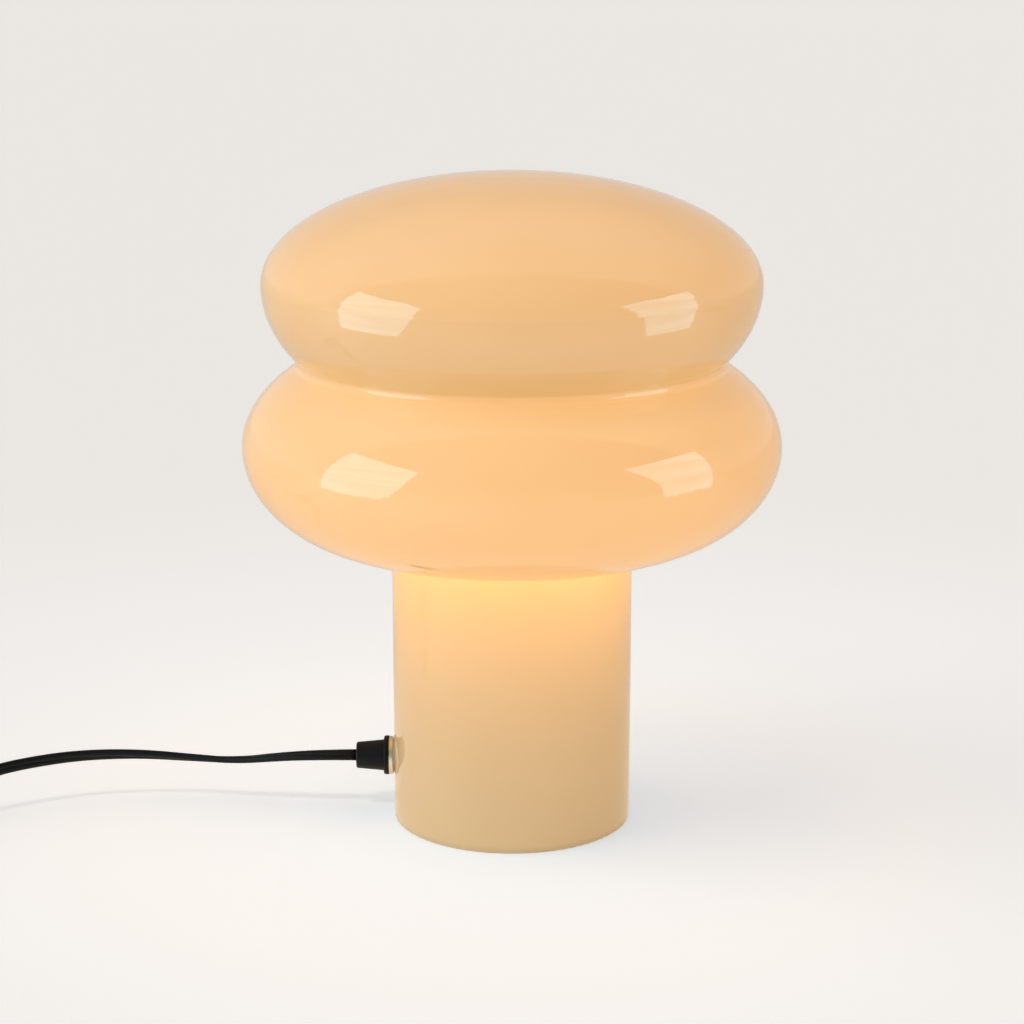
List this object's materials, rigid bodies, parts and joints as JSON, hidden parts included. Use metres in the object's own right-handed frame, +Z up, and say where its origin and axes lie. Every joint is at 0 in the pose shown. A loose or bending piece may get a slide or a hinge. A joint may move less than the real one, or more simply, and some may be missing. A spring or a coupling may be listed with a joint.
{
  "type": "table lamp",
  "caption": "Table lamp with a one-piece opal glass body of two stacked round bulges on a hollow stem, lit from inside, with a cord, an inline switch and a plug.",
  "frame": {"origin": "middle of the glass foot's ground ring, on the surface that the lamp stands on", "axes": "+Z up along the glass body's axis; the cord leaves the stem towards -X; the picture looks along +Y"},
  "size_m": [0.706, 0.25, 0.3067],
  "materials": {
    "opal_glass": "gloss",
    "clear_silicone": "satin",
    "brass": "polished",
    "zinc_steel": "satin",
    "black_plastic": "satin",
    "black_rocker": "gloss",
    "cord_sheath": "satin",
    "brown_wire": "satin",
    "blue_wire": "satin",
    "holder_resin": "gloss",
    "bulb_opal": "frosted",
    "bulb_white": "gloss",
    "nickel": "polished",
    "aluminium_board": "matt white lacquer",
    "led_yellow": "matt",
    "green_board": "satin"
  },
  "bodies": {
    "lamp": {"glass_body": "opal_glass", "gland_seal_outer": "clear_silicone", "gland_seal_inner": "clear_silicone", "gland_ring": "brass", "contact_shell": "brass", "contact_centre": "brass", "switch_contact_fixed": "brass", "switch_contact_pivot": "brass", "terminal_blocks": "brass", "switch_neutral_link": "brass", "gland_nipple": "zinc_steel", "gland_washer": "zinc_steel", "gland_nut": "zinc_steel", "bracket": "zinc_steel", "riser_tube": "zinc_steel", "riser_washers": "zinc_steel", "riser_nuts": "zinc_steel", "holder_grub_screw": "zinc_steel", "terminal_screws": "zinc_steel", "switch_screws": "zinc_steel", "switch_terminal_screws": "zinc_steel", "strain_relief": "black_plastic", "switch_case_lower": "black_plastic", "switch_case_upper": "black_plastic", "plug_body": "black_plastic", "plug_pin_sleeves": "black_plastic", "coil_ties": "black_plastic", "inner_lead": "cord_sheath", "cord_lead": "cord_sheath", "cord_run": "cord_sheath", "cord_coil": "cord_sheath", "cord_tail": "cord_sheath", "switch_sheaths": "cord_sheath", "wire_live": "brown_wire", "wire_neutral": "blue_wire", "holder_cap": "holder_resin", "holder_sleeve": "holder_resin", "holder_core": "holder_resin", "plug_pins": "nickel"},
    "bulb": {"bulb_dome": "bulb_opal", "bulb_housing": "bulb_white", "bulb_led_board": "aluminium_board", "bulb_leds": "led_yellow", "bulb_driver": "green_board", "bulb_cap": "nickel", "bulb_insulator": "holder_resin", "bulb_tip": "nickel"},
    "rocker": {"switch_rocker": "black_rocker", "switch_plunger": "black_rocker", "switch_spring": "zinc_steel"},
    "blade": {"switch_blade": "brass"}
  },
  "joints": [
    {"name": "bulb_screw", "type": "hinge", "parent": "lamp", "child": "bulb", "pos_m": [0, 0, 0.14], "axis": [0, 0, 1], "range_deg": [0, 1620]},
    {"name": "rocker_tilt", "type": "hinge", "parent": "lamp", "child": "rocker", "pos_m": [-0.341, -0.03, 0.0136], "axis": [0, 1, 0], "range_deg": [0, 21]},
    {"name": "blade_tilt", "type": "hinge", "parent": "lamp", "child": "blade", "pos_m": [-0.341, -0.03, 0.0061], "axis": [0, 1, 0], "range_deg": [-10, 0]}
  ],
  "couplings": [
    {"joint": "blade_tilt", "follows": "rocker_tilt", "ratio": -0.4761}
  ]
}
